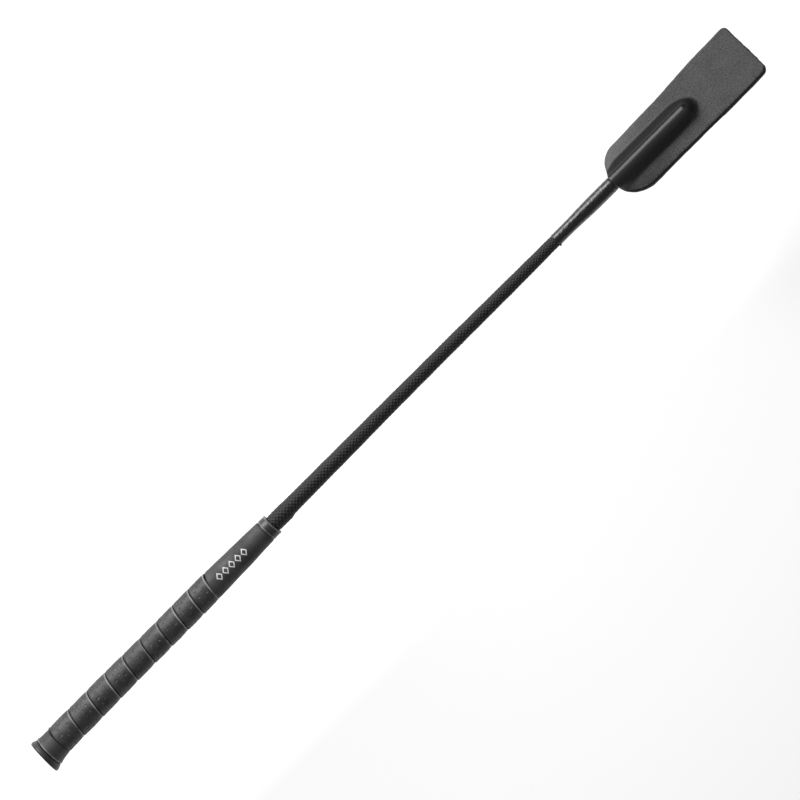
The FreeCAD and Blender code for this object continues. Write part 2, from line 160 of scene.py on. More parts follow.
class Shell:
    """Gathers grids of points and the faces on them, then makes one mesh of them."""

    def __init__(self):
        self.points, self.faces, self.corners, self.slots = [], [], [], []

    def add(self, points):
        """Add points, and give back their numbers in the same shape."""
        flat = np.asarray(points, float).reshape(-1, 3)
        first = sum(map(len, self.points))
        self.points.append(flat)
        return np.arange(first, first + len(flat)).reshape(np.shape(points)[:-1])

    def skin(self, numbers, uv, closed_rows=False, closed_columns=True, slot=0):
        """Quads over a grid of point numbers; uv has one more row or column where it closes."""
        if closed_rows:
            numbers = closed(numbers)
        if closed_columns:
            numbers = closed(numbers.T).T
        rows, columns = numbers.shape
        uv = uv[:rows, :columns]

        def corners(grid):
            return np.stack([grid[:-1, :-1], grid[1:, :-1], grid[1:, 1:], grid[:-1, 1:]], 2)

        self.faces += corners(numbers).reshape(-1, 4).tolist()
        self.corners.append(corners(uv).reshape(-1, 2))
        self.slots += np.broadcast_to(slot, (rows - 1, columns - 1)).ravel().tolist()

    def close(self, ring):
        """One face over a ring of points."""
        self.faces.append(ring.tolist())
        self.corners.append(np.zeros((len(ring), 2)))
        self.slots.append(0)

    def fan(self, ring, point):
        """Triangles from a ring to one point."""
        tip = int(self.add(point))
        for near, far in zip(ring.tolist(), np.roll(ring, -1).tolist()):
            self.faces.append([near, far, tip])
            self.slots.append(0)
        self.corners.append(np.zeros((3 * len(ring), 2)))

    def build(self, name, materials, sharp=40):
        mesh = bpy.data.meshes.new(name)
        mesh.from_pydata((np.vstack(self.points) * MM).tolist(), [], self.faces)
        uv = np.vstack(self.corners).astype(np.float32).ravel()
        mesh.uv_layers.new(name="weave").data.foreach_set("uv", uv)
        for material in materials:
            mesh.materials.append(material)
        mesh.polygons.foreach_set("material_index", self.slots)
        mesh.polygons.foreach_set("use_smooth", [True] * len(self.faces))
        tool = bmesh.new()
        tool.from_mesh(mesh)
        bmesh.ops.recalc_face_normals(tool, faces=tool.faces)
        tool.to_mesh(mesh)
        tool.free()
        mesh.set_sharp_from_angle(angle=math.radians(sharp))
        mesh.update()
        piece = bpy.data.objects.new(name, mesh)
        bpy.context.scene.collection.objects.link(piece)
        return piece


def angles(count):
    """Angles round the shaft for a closed grid, and the same with the first one repeated."""
    whole = np.linspace(0, TURN, count + 1)
    return whole[:-1], whole


def skin_uv(x, radius, angle):
    """Millimetres along and round, for a material's grain."""
    return joined(x, radius.mean() * angle)


def lathe(name, slot, node, profile, materials, segments, uneven, start=None, end=None,
          askew=None, rubbed=()):
    """A piece of the handle that is a ring of revolution, from a closed loop of (x, radius).

    start and end give, for each angle, where the profile's first and last stations lie; askew
    gives a shift along the axis for each point. uneven is the height of a ripple, the radius it
    is laid out on, its wavelength and its seed. The steps in rubbed take the second material.
    A profile that begins and ends on the axis is closed there by a point."""
    profile = np.array(profile, float)
    solid = profile[0, 1] == 0
    if solid:
        poles = profile[0], profile[-1]
        profile = profile[1:-1]
    x, radius = profile[:, :1], profile[:, 1:]
    around, whole = angles(segments)
    first, last = x.min(), x.max()
    begin = start(around) if start else first
    finish = end(around) if end else last
    stations = begin + (x - first) / (last - first) * (finish - begin)
    if askew:
        stations = stations + askew(x, radius, around)
    height, girth, wavelength, seed = uneven
    relief = height * ripple(stations, around * girth, wavelength, seed)
    shell = Shell()
    numbers = shell.add(on_shaft(stations, radius + relief, around))
    # Steps in rubbed take the ridge finish: wear with a painted highlight.
    slots = [[int(step in rubbed)] for step in range(len(x) - int(solid))]
    uv = skin_uv(closed(x), closed(radius), whole)
    shell.skin(numbers, uv, closed_rows=not solid, slot=slots)
    if solid:
        for ring, pole in zip((numbers[0], numbers[-1]), poles):
            shell.fan(ring, on_shaft(pole[0], 0.0, 0.0))
    finish_piece(shell.build(name, materials), "handle", slot, node)


def tube(x, radius, inside, stride, around, centre=lean):
    """Out along a tube's skin and back along its inside, at every so many stations.

    Gives back the shell, its point numbers and the station of each row, closed."""
    back = x[::-stride]
    if back[-1, 0] != x[0, 0]:
        back = np.vstack([back, x[:1]])
    shell = Shell()
    outer = shell.add(on_shaft(x, radius, around, centre))
    inner = shell.add(on_shaft(back, inside(back), around, centre))
    return shell, np.vstack([outer, inner]), np.vstack([x, back, x[:1]])


def finish_piece(piece, body, slot, *nodes):
    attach(piece, body)
    if nodes:
        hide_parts(*nodes)


def finish_bending_piece(piece, nodes):
    """For a piece that two bodies share: it hides their CAD parts and bakes in its placing."""
    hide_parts(*nodes)
    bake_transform(piece)


# ---- materials

class Paint:
    """A Principled material and short calls for the nodes that drive it.

    Its textures lie on "weave", the millimetres or strand counts stored on the mesh, or on
    "place", the crop's own frame in metres."""

    def __init__(self, name, on=None, **sockets):
        self.material = bpy.data.materials.new(name)
        self.material.use_nodes = True
        self.tree = self.material.node_tree
        self.surface = self.tree.nodes["Principled BSDF"]
        for socket, value in sockets.items():
            self.surface.inputs[socket.replace("_", " ")].default_value = value
        if on == "weave":
            self.at = self.node("UVMap", {"uv_map": "weave"}).outputs[0]
        elif on == "place":
            self.at = self.node("TexCoord").outputs["Object"]

    def node(self, kind, settings=None, **inputs):
        """A node; inputs are values or other nodes' outputs, by socket name or by number."""
        made = self.tree.nodes.new(f"ShaderNode{kind}")
        for setting, value in (settings or {}).items():
            setattr(made, setting, value)
        for socket, value in inputs.items():
            place = int(socket[1:]) if socket[1:].isdigit() else socket.replace("_", " ")
            target = made.inputs[place]
            if isinstance(value, bpy.types.NodeSocket):
                self.tree.links.new(value, target)
            else:
                target.default_value = value
        return made

    def calc(self, kind, *values, clamp=False):
        settings = {"operation": kind, "use_clamp": clamp}
        inputs = {f"i{number}": value for number, value in enumerate(values)}
        return self.node("Math", settings, **inputs).outputs[0]

    def noise(self, scale, detail=4, roughness=0.55, distortion=0.0):
        return self.node(
            "TexNoise", Vector=self.at, Scale=scale, Detail=detail, Roughness=roughness,
            Distortion=distortion).outputs[0]

    def cells(self, scale):
        return self.node("TexVoronoi", Vector=self.at, Scale=scale).outputs["Distance"]

    def span(self, value, low_in, high_in, low_out=0, high_out=1):
        """Carry a value from one range to another."""
        values = {"i0": value, "i1": low_in, "i2": high_in, "i3": low_out, "i4": high_out}
        return self.node("MapRange", **values).outputs[0]

    def mix(self, fac, first, second):
        return self.node("Mix", i0=fac, i2=first, i3=second).outputs[0]

    def tint(self, fac, dark, light):
        return self.node("Mix", {"data_type": "RGBA"}, i0=fac, i6=dark, i7=light).outputs[2]

    def greys(self, fac, dark, light):
        """Between two neutral shades, which lean a little to blue."""
        return self.tint(fac, *((shade, shade, shade * 1.02, 1) for shade in (dark, light)))

    def finish(self, colour, roughness, *bumps):
        """Link colour, roughness and a stack of bumps, each (height, depth in millimetres)."""
        normal = None
        for height, depth in bumps:
            inputs = {"Height": height, "Distance": depth * MM, "Strength": 1.0}
            if normal:
                inputs["Normal"] = normal
            normal = self.node("Bump", **inputs).outputs[0]
        links = {"Base Color": colour, "Roughness": roughness, "Normal": normal}
        for socket, value in links.items():
            self.tree.links.new(value, self.surface.inputs[socket])
        return self.material


def moulded_rubber(name, shade, rough):
    """Fine matt rubber: cloudy where it has been handled, with rubbed specks."""
    paint = Paint(name, "place")
    cloud = paint.span(paint.noise(75, 4, 0.6), 0.34, 0.66)
    specks = paint.noise(700, 4, 0.7)
    fac = paint.calc("MULTIPLY_ADD", specks, 0.5, paint.calc("MULTIPLY", cloud, 0.55))
    return paint.finish(
        paint.greys(fac, shade * 0.5, shade * 1.8),
        paint.span(cloud, 0, 1, rough + 0.08, rough - 0.08),
        (paint.noise(320, 3, 0.6), 0.1), (specks, 0.05), (paint.noise(2600, 4, 0.6), 0.02))


def grip_leather(name, shade, rough):
    """Soft synthetic leather: fine pores, creases along the strip, rubbed paler in patches."""
    paint = Paint(name, "weave")
    patches = paint.span(paint.noise(0.16, 4, 0.6), 0.35, 0.65)
    wear = paint.noise(0.8, 5, 0.7)
    fac = paint.calc("MULTIPLY", paint.calc("MULTIPLY_ADD", wear, 0.7, 0.15), patches)
    speckle = paint.span(paint.noise(1.6, 4, 0.8), 0.36, 0.64, -0.2, 0.3)
    fac = paint.calc("ADD", paint.calc("MULTIPLY_ADD", wear, 0.4, fac), speckle, clamp=True)
    rumple = paint.noise(0.42, 4, 0.6, 0.5)
    return paint.finish(
        paint.greys(fac, shade * 0.3, shade * 2.1),
        paint.span(wear, 0.3, 0.7, rough - 0.08, rough + 0.12),
        (rumple, 0.09), (paint.noise(1.3, 3), 0.06), (paint.cells(2.2), 0.04))


def black_greyed_in_patches(name, patches, window, shades, rough, pits):
    """Black that goes to grey in patches: the noise they follow, the window of it that shows,
    the shades and the roughness on either side, and the scale and depth of the pits."""
    paint = Paint(name, "place")
    wear = paint.span(paint.noise(*patches), *window)
    scale, depth = pits
    return paint.finish(
        paint.greys(wear, *shades), paint.span(wear, 0, 1, *rough), (paint.noise(scale, 3), depth))


def braid_yarn(name, shade, rough):
    """Three yarns side by side in each strand, with painted shade in the gaps between strands;
    coordinates count strands.
    """
    paint = Paint(name, "weave", Specular_IOR_Level=0.2)
    split = paint.node("SeparateXYZ", Vector=paint.at)
    on_top = paint.node("TexChecker", Vector=paint.at, Scale=1.0).outputs[1]
    families = []
    for axis in (0, 1):
        turns = paint.calc("MULTIPLY", split.outputs[axis], TURN)
        thirds = paint.calc("MULTIPLY", turns, 3.0)
        families.append((paint.calc("COSINE", turns), paint.calc("COSINE", thirds)))
    strand, yarn = (paint.mix(on_top, *pair) for pair in zip(*families))
    # Painted shade: the colour darkens towards the gaps between strands.
    painted_gap_shade = paint.span(strand, 0.2, 1)
    yarn = paint.span(yarn, -1, 1, 1, 0)
    dust = paint.noise(0.6, 4, 0.6)
    fac = paint.calc("MULTIPLY_ADD", dust, 0.7, paint.calc("MULTIPLY", yarn, 0.3))
    fac = paint.calc("SUBTRACT", fac, paint.calc("MULTIPLY", painted_gap_shade, 0.8), clamp=True)
    return paint.finish(
        paint.greys(fac, shade * 0.1, shade * 1.9),
        paint.span(dust, 0.3, 0.7, rough - 0.08, rough + 0.08),
        (yarn, 0.05), (paint.noise(9, 3), 0.04))


def lacquered_thread(name, shade):
    """Waxed thread under a glossy, crazed lacquer; the coordinates are in millimetres."""
    paint = Paint(name, "weave", Coat_Weight=0.45, Coat_Roughness=0.16)
    drips = paint.noise(0.5, 4, 0.6, 0.6)
    crazing = paint.noise(1.1, 5, 0.75, 0.3)
    chips = paint.span(crazing, 0.48, 0.66)
    return paint.finish(
        paint.greys(chips, shade * 0.3, shade * 2.4),
        paint.span(crazing, 0.35, 0.65, 0.18, 0.45),
        (drips, 0.12), (crazing, 0.1), (paint.noise(4, 3), 0.03))


def flap_leather(name, shade, over_rod):
    """Grained leather, rubbed grey; over the rod it is stretched smooth and dark, with painted
    shade deepening the dark and painted light making the lower flank paler.
    """
    paint = Paint(name, "weave", Specular_IOR_Level=0.25)
    pebbles = paint.cells(1.5)
    fine = paint.noise(5.5, 4, 0.6)
    speckle = paint.span(paint.noise(0.9, 4, 0.75), 0.36, 0.64)
    mottle = paint.noise(0.12, 5, 0.6)
    fac = paint.calc("MULTIPLY_ADD", mottle, 0.4, paint.calc("MULTIPLY", speckle, 0.6))
    colour = paint.greys(fac, shade * 0.2, shade * 1.8)
    roughness = paint.span(speckle, 0, 1, 0.46, 0.58)
    grain = 1.0
    if over_rod:
        split = paint.node("SeparateXYZ", Vector=paint.at)
        x, y = split.outputs[0], split.outputs[1]
        half = (FOOT_LEFT + FOOT_RIGHT) / 2
        past = paint.calc("MAXIMUM", paint.calc("SUBTRACT", x, OVAL_CENTRE), 0.0)
        past = paint.calc("MULTIPLY", past, half / OVAL_REACH)
        side = paint.calc("SUBTRACT", y, (FOOT_LEFT - FOOT_RIGHT) / 2 + CREST_SHIFT)
        squares = (paint.calc("MULTIPLY", part, part) for part in (past, side))
        reach = paint.calc("SQRT", paint.calc("ADD", *squares))
        foot = paint.span(x, FLAP_START, FLAP_START + HUG, FOOT_MOUTH, half)
        flat = paint.span(paint.calc("SUBTRACT", reach, foot), -1.1, 0.5)
        # The crest shines where it faces the light, a little to the left of the middle.
        off_crest = paint.calc("ABSOLUTE", paint.calc("SUBTRACT", y, 2.4))
        polish = paint.span(paint.span(off_crest, 1.4, 3.6, 1, 0), 0, 1, 0.85, 0.25)
        # Painted light: the lower flank is coloured paler, and the dark over the rod is partly
        # painted shade of its flanks.
        painted_lower_flank_light = paint.calc("MULTIPLY", paint.span(y, -8, 2, 1, 0.1), 0.8)
        dark = paint.greys(paint.calc("MULTIPLY_ADD", fac, 0.2, painted_lower_flank_light), 0.003, 0.042)
        colour = paint.tint(flat, dark, colour)
        roughness = paint.mix(flat, polish, roughness)
        grain = paint.span(flat, 0, 1, 0.2, 1)
    pebbles, fine = (paint.calc("MULTIPLY", height, grain) for height in (pebbles, fine))
    return paint.finish(colour, roughness, (pebbles, 0.05), (fine, 0.016))


def dyed_edge(name, shade, rough):
    """Cut leather edge, dyed and rubbed, and dark enough to serve as painted shade over its
    rounding: fibres run along it.
    """
    paint = Paint(name, "weave")
    fibres = paint.noise(3.5, 5, 0.7)
    return paint.finish(
        paint.greys(fibres, shade * 0.5, shade * 1.7),
        paint.span(fibres, 0.3, 0.7, rough - 0.1, rough + 0.1),
        (fibres, 0.12), (paint.noise(0.8, 4), 0.1))


def raw_glass_fibre(name):
    """Pultruded rod: long pale fibres in resin."""
    paint = Paint(name, "weave")
    paint.at = paint.node("Mapping", Vector=paint.at, Scale=(0.05, 4, 1)).outputs[0]
    fibres = paint.noise(2)
    return paint.finish(
        paint.tint(fibres, (0.3, 0.29, 0.24, 1), (0.5, 0.48, 0.4, 1)),
        paint.span(fibres, 0.3, 0.7, 0.3, 0.5), (fibres, 0.02))


def printed_ink(name):
    """Pale ink, a little worn where the hand rubs it."""
    paint = Paint(name, "place")
    wear = paint.noise(1500, 4, 0.7)
    return paint.finish(
        paint.greys(paint.span(wear, 0.3, 0.5), 0.4, 0.72),
        paint.span(wear, 0.3, 0.7, 0.5, 0.65), (wear, 0.01))


RUBBER = moulded_rubber("cap_rubber", 0.02, 0.5)
COLLAR_SKIN = moulded_rubber("collar_skin", 0.03, 0.6)
SLEEVE_SKIN = moulded_rubber("sleeve_skin", 0.032, 0.64)
RING_GLOSS = moulded_rubber("ring_gloss", 0.025, 0.36)
HIDDEN_RUBBER = moulded_rubber("foam_rubber", 0.012, 0.8)
HIDDEN_TUBE = moulded_rubber("former_tube", 0.02, 0.55)
GRIP = grip_leather("grip_strip", 0.028, 0.52)
YARN = braid_yarn("braid_yarn", 0.032, 0.5)
THREAD = lacquered_thread("whipping_thread", 0.01)
EDGE_DYE_AND_SHADE = dyed_edge("leather_edge_dye_and_painted_shade", 0.008, 0.4)
FIBRE = raw_glass_fibre("glass_fibre")
INK = printed_ink("pale_ink")
# A moulded ridge, worn where hands and floors rub it and painted paler along its beads as a
# highlight, and dusty felt in the strip's holes.
RIDGE_WEAR_AND_HIGHLIGHT = black_greyed_in_patches("ridge_wear_and_painted_highlight", (130, 5, 0.65), (0.36, 0.62), (0.07, 0.26), (0.4, 0.56),
                    (1700, 0.03))
BACKING = black_greyed_in_patches("strip_backing", (190, 2, 0.5), (0.38, 0.62), (0.06, 0.22), (0.7, 0.9),
                     (4000, 0.05))


# ---- handle

FIRST_LINE = 17.85  # the strip's first edge line, on the +Y side
LINE_PITCH = 17.78  # advance from one edge line to the next, at the butt
TIGHTEN = 0.224  # how much the pitch loses in each turn, halved
LAG = 0.09  # the strip runs flatter over the front than round the back
LAST_LINE = 8.5  # turns after which the strip runs out under the sleeve's edge
HALF_GROOVE = 0.3  # from a line to what it parts, on either side
FULL_WIDTH = 12.5  # a strip narrower than this has a flatter section
strip_radius = through([
    (14, 10), (20, 9.97), (39, 9.8), (60, 9.75), (80, 9.5), (105, 9.38), (130, 9.4),
    (160, 9.35)])


def line_station(turn):
    """Station of the strip's edge line after so many turns from the +Y side."""
    pitch = LINE_PITCH - 2 * TIGHTEN * turn
    straight = FIRST_LINE + LINE_PITCH * turn - TIGHTEN * turn ** 2
    return straight + LAG * pitch * (1 - np.cos(TURN * turn))


def collar_line(angle):
    """Where the collar meets the strip's tapered first turn, all the way round."""
    return 15.1 - 0.3 * np.cos(angle)


def sleeve_line(angle):
    """The sleeve's oblique edge, which follows the strip's last line over the front."""
    return 157.5 + 2.2 * np.cos(angle)


def butt_cap():
    """Rubber cap with a flared rim; its end is moulded a little askew, its top leaning forward."""
    spigot = high("butt_cap")[0]
    plug = high("handle_former")[2] - 1.5
    recess = [
        (1.1, 0), (1.1, 0.7), (0.55, 0.8), (0.45, 1), (0.45, 2.6), (0.62, 2.75), (0.62, 3),
        (0.45, 3.15), (0.45, 8), (0.35, 8.25), (0.1, 8.45), (0, 8.8)]
    flare = [
        (0, -0.95), (0.06, -0.6), (0.22, -0.3), (0.5, -0.08), (0.9, 0.08), (1.4, 0.16),
        (1.9, 0.12), (2.4, -0.04), (3, -0.26), (3.7, -0.56), (4.3, -0.8), (4.7, -1),
        (4.95, -1.3), (5.12, -1.8)]
    profile = [
        *recess, *((x, CAP_RADIUS + out) for x, out in flare), (5.2, plug), (spigot, plug),
        (spigot, 0)]

    def askew(x, radius, around):
        fade = np.clip(1 - x / low("butt_collar")[0], 0, 1)
        return 1.25 * np.sin(around) * radius / radius.max() * fade

    lathe("butt_cap_rubber", "tip_cap", "butt_cap", profile, [RUBBER], 160,
          (0.05, CAP_RADIUS, 14, 3), askew=askew)


def butt_collar():
    """Moulded collar with a bead beside the cap, worn and painted paler as a highlight; it stops
    just short of the strip.
    """
    bore = high("handle_former")[2]
    profile = [
        (5.45, bore), (5.45, 10.1), (5.5, 10.7), (5.66, 11), (5.92, 11.16), (6.22, 11.12),
        (6.55, 10.96), (6.9, 10.86), (7.6, 10.66), (8.8, 10.42), (10.2, 10.24), (12, 10.1),
        (13.4, 10.02), (14, 9.98), (14.35, 9.88), (14.6, 9.68), (14.75, 9.38), (14.8, 9),
        (14.8, bore)]
    lathe("butt_collar_skin", "grip_rubber", "butt_collar", profile, [COLLAR_SKIN, RIDGE_WEAR_AND_HIGHLIGHT], 160,
          (0.04, 10, 11, 4), end=lambda around: collar_line(around) + 0.1, rubbed=range(2, 6))


def rounding(distance, radius):
    """How far a rounded edge has dropped, so far in from it."""
    near = np.clip(radius - distance, 0, radius)
    return radius - np.sqrt(radius ** 2 - near ** 2)


def strip_section(width, across):
    """Height of the strip's surface above its nominal radius, from the butt-side edge across."""
    scale = np.minimum(1, width / FULL_WIDTH)
    beyond = width - across
    crown = 0.14 * (1 - (2 * across / width - 1) ** 2)
    shoulder = 0.13 * hump(across, 1.3, 1.1)
    dip = 0.2 * (1 - ease(beyond, 0.9, 2.4))
    bead = (0.2 + 0.2 * (1 - scale)) * hump(beyond, 0.5, 0.3)
    return (scale * (crown + shoulder - dip) + bead - rounding(across, 0.55)
            - rounding(beyond, 0.25))


def grip_strip():
    """One strip wound left-handed, punched with staggered rows of holes, its tip edge beaded."""
    pitches_per_turn = 14  # of the pattern of holes
    start = -1.18
    pitches = int((LAST_LINE - start) * pitches_per_turn)
    rim = np.array([0.22, 0.43, 0.6])  # a hole's half-widths: two on its floor, one on its lip
    wall = 0.55
    mean_radius = 9.7
    pitch_length = TURN * mean_radius / pitches_per_turn
    rows_at_hole = np.concatenate([-rim[::-1], rim]) / pitch_length
    row_steps = np.hstack([
        rows_at_hole[3:], 0.25, 0.5 + rows_at_hole, 0.75, 1 + rows_at_hole[:3]])
    columns = [(0, off) for off in (0, .04, .14, .3, .52, .8, 1.25, 1.9)]
    hole_columns = []
    for spot in (0.27, 0.5, 0.73):
        hole_columns.append(slice(len(columns), len(columns) + 6))
        columns += [(spot, off) for off in (*-rim[::-1], *rim)]
        if spot < 0.7:
            columns += [(spot + 0.115, -0.3), (spot + 0.115, 0.3)]
    columns += [(1, -off) for off in (2.6, 2.0, 1.5, 1.1, .85, .66, .5, .36, .24, .14, .06, 0)]
    spots, offs = np.array(columns).T

    steps = np.append((np.arange(pitches)[:, None] + row_steps).ravel(), pitches)
    steps = np.insert(steps, 0, 0)
    shear = 0.05
    turn = start + steps[:, None] / pitches_per_turn - shear * (spots - 0.5)
    turn = np.clip(turn, start, LAST_LINE)
    angle = -TURN * turn
    first_turn = np.maximum(collar_line(angle), np.where(turn < -0.5, 0, line_station(turn)))
    butt = np.where(turn < 0.5, first_turn, line_station(turn)) + HALF_GROOVE
    tip = np.where(turn > LAST_LINE - 0.5, sleeve_line(angle), line_station(turn + 1)) - HALF_GROOVE
    width = np.maximum(tip - butt, 0.06)
    scale = np.minimum(1, width / FULL_WIDTH)
    across = np.clip(spots * width + offs * scale, 0, width)
    along = steps[:, None] * pitch_length + 0 * across

    rng = np.random.default_rng(11)
    sunk = np.zeros_like(across)
    floor = np.zeros((len(steps), len(columns)), bool)
    for number, where in enumerate(hole_columns):
        for pitch in range(pitches):
            middle = pitch + (0.5 if number != 1 else 1.0)
            rows = slice(*np.searchsorted(steps, [middle - 0.2, middle + 0.2]))
            block = rows, where
            depth, size = rng.uniform(0.12, 0.26), rng.uniform(0.8, 1.2)
            nudge = np.clip(rng.normal(0, 0.16, 2), -0.3, 0.3)
            if rows.stop - rows.start != 6 or width[block].min() < 11:
                continue
            off, run = np.meshgrid(offs[where], (steps[rows] - middle) * pitch_length)
            square = np.maximum(np.abs(off), np.abs(run))
            pull = square / np.hypot(off, run) * size
            across[block] += off * (pull - 1) + nudge[0]
            along[block] += run * (pull - 1) + nudge[1]
            sunk[block] = np.where(square < wall, depth, -0.06)
            floor[block] = square < wall

    turn = turn + (along - steps[:, None] * pitch_length) / (pitch_length * pitches_per_turn)
    angle = -TURN * turn
    x = butt + across
    base = strip_radius(x)
    slack = 0.05 * ripple(x, base * angle, 16, 21)
    radius = base + strip_section(width, across) + slack * scale - sunk
    inside = strip_radius(butt) - 1.4

    last = len(columns) - 1
    underside = on_shaft(x, inside, angle)[:, [last, len(columns) // 2, 0]]
    loop = np.hstack([on_shaft(x, radius, angle), underside])
    slots = np.zeros((loop.shape[0] - 1, loop.shape[1]), int)
    inner = floor[:-1, :-1] & floor[1:, :-1] & floor[:-1, 1:] & floor[1:, 1:]
    slots[:, :last][inner] = 1
    # The tip edge's bead takes the ridge finish: wear and a painted highlight.
    slots[:, last - 8:last - 1] = 2
    shell = Shell()
    numbers = shell.add(loop)
    uv_across = np.hstack([across, width[:, -1:] + [1, 5, 9, 10]])
    shell.skin(numbers, joined(along[:, :1], uv_across), slot=slots)
    shell.close(numbers[0])
    shell.close(numbers[-1])
    finish_piece(shell.build("grip_strip_wound", [GRIP, BACKING, RIDGE_WEAR_AND_HIGHLIGHT], 60),
                 "handle", "grip_strip", "grip_wrap")


def grip_sleeve():
    """Smooth tapered sleeve; stations count from its own butt end."""
    bore = high("handle_former")[2]
    outside = [
        (0, bore), (0, 8.6), (0.03, 8.8), (0.12, 9), (0.3, 9.14), (0.6, 9.22), (1.1, 9.26)]
    taper = through([
        (1.1, 9.26), (5, 9.16), (11.5, 8.95), (24.5, 8.62), (37.5, 8.2), (44, 7.97), (47, 7.88)])
    outside += [(step, float(taper(step))) for step in np.linspace(2.2, 46.6, 24)]
    outside += [(47.0, 7.8), (47.3, 7.6), (47.45, 7.3), (47.45, bore)]
    lathe("grip_sleeve_skin", "grip_rubber", "grip_sleeve", outside, [SLEEVE_SKIN], 160,
          (0.035, 9, 13, 5), start=lambda around: sleeve_line(around) + HALF_GROOVE,
          end=lambda around: SLEEVE_END - 0.3)


sleeve_radius = through([
    (158, 9.33), (162, 9.22), (169, 8.95), (182, 8.62), (195, 8.2), (203, 7.93), (207, 7.85)])


def sleeve_ornament():
    """A printed row of open lozenges, where such crops carry a mark."""
    shell = Shell()
    marks = 5
    first, pitch = low("grip_sleeve")[0] + 8.4, 5.6
    along_half, round_half = 2.45, 3.0
    stroke = 0.36  # share of the lozenge that is line
    centre_angle = TURN / 4 + 0.15
    points = 32
    lap = np.linspace(0, 4, points + 1)[:-1]
    ramp = lap % 1
    corner = np.array([[1, 0], [0, 1], [-1, 0], [0, -1]])
    side = lap.astype(int)
    shape = corner[side] * (1 - ramp)[:, None] + corner[(side + 1) % 4] * ramp[:, None]
    for number in range(marks):
        rings = []
        for share, lift in ((1, 0.06), (1, 0.13), (1 - stroke, 0.13), (1 - stroke, 0.06)):
            x = first + pitch * number + shape[:, 0] * along_half * share
            radius = sleeve_radius(x) + lift
            angle = centre_angle + shape[:, 1] * round_half * share / radius
            rings.append(shell.add(on_shaft(x, radius, angle)))
        numbers = np.stack(rings)
        uv = np.indices((len(rings) + 1, points + 1)).transpose(1, 2, 0) * 0.5
        shell.skin(numbers, uv, closed_rows=True)
    finish_piece(shell.build("sleeve_ornament", [INK], 30), "handle", "grip_rubber")


def mouth_ring():
    """A narrow moulded ring with a bead at each end, worn and painted paler as a highlight; its far
    end is a little askew.
    """
    bore = 5.75
    ring = high("mouth_ring")[2]
    length = 6.3
    section = [
        (-0.25, -0.9), (0.3, -0.85), (0.32, -0.3), (0.4, -0.05), (0.55, 0.05), (0.75, 0.08),
        (0.95, 0.03), (1.1, -0.06), (1.3, -0.1), (2, -0.1), (4.2, -0.12), (4.9, -0.16),
        (5.1, -0.26), (5.3, -0.22), (5.45, 0), (5.65, 0.1), (5.9, 0.06), (6.1, -0.08),
        (6.24, -0.36), (length, -0.8), (length, -1.5)]
    profile = [
        (SLEEVE_END - 0.25, bore), *((SLEEVE_END + x, ring + out) for x, out in section),
        (SLEEVE_END + length, bore)]
    lathe("mouth_ring_moulded", "tip_cap", "mouth_ring", profile, [RING_GLOSS, RIDGE_WEAR_AND_HIGHLIGHT], 144,
          (0.03, 8, 10, 6), end=lambda around: SLEEVE_END + length - 0.4 * np.cos(around),
          rubbed=(*range(3, 8), *range(14, 18)))


# ---- shaft

STRANDS = 12  # strands that lean each way
PICK = 3.0  # station from one crossing of a strand to the next but one
RISE = 0.15  # how far a strand rises over another
CROWN = 0.3  # how far its edges lie below its middle
SHEATH_WALL = 1.2
shaft_radius = through([
    (0, 5.45), (205, 5.45), (217, 5.5), (240, 5.38), (262, 5.25), (285, 5.1), (305, 4.95),
    (324, 4.82), (350, 4.68), (389, 4.58), (415, 4.48), (441, 4.32), (474, 4.1), (530, 3.82),
    (593, 3.47)])


def core_line(x):
    """The rod's centre line: straight inside the handle, then as the crop's outside."""
    return lean(x) * ease(x, MOUTH - 25, MOUTH - 1)


def strand_counts(x, around):
    """How many strands of each family lie between a point and the start."""
    return STRANDS * around / TURN + x / PICK, STRANDS * around / TURN - x / PICK


def braid_relief(x, around):
    """Height of two families of strands that pass over and under each other."""
    right, left = strand_counts(x, around)
    over = (np.floor(right) + np.floor(left)) % 2 < 0.5
    rise = np.where(over, 1.0, -1.0)
    u, v = right % 1, left % 1
    height_right = RISE * rise * np.sin(np.pi * v) - CROWN * (2 * u - 1) ** 2
    height_left = -RISE * rise * np.sin(np.pi * u) - CROWN * (2 * v - 1) ** 2
    return np.maximum(height_right, height_left)


def sheath(name, start, end, fine_from, fine_to, nodes, bodies, bend_zone):
    """A length of the braided sheath, woven in the mesh wherever it can be seen."""
    fine_step = 0.3
    stations = [start]
    if fine_from > start:
        stations += list(np.linspace(start + 0.2, fine_from - 0.5, 12))
    stations += [x for x in np.arange(fine_from, fine_to, fine_step) if start < x < end]
    stations += list(np.linspace(fine_to + 1, end, 14)) if fine_to < end else [end]
    x = np.array(stations)[:, None]
    around, whole = angles(120)
    woven = ease(x, fine_from - 1, fine_from) * (1 - ease(x, fine_to, fine_to + 1))
    slack = 0.05 * ripple(x, around * 5, 17, 31)
    radius = shaft_radius(x) + (braid_relief(x, around) + slack) * woven
    # By the mouth it is turned back on itself for a stretch, thicker at the -Y side.
    radius += (0.45 - 0.25 * np.cos(around)) * (1 - ease(x, 226, 229)) * ease(x, 213, 216.5)
    shell, numbers, rows = tube(
        x, radius, lambda x: shaft_radius(x) - SHEATH_WALL, 24, around, core_line)
    shell.skin(numbers, joined(*strand_counts(rows, whole)), closed_rows=True)
    finish_bending_piece(shell.build(name, [YARN], 50), nodes)


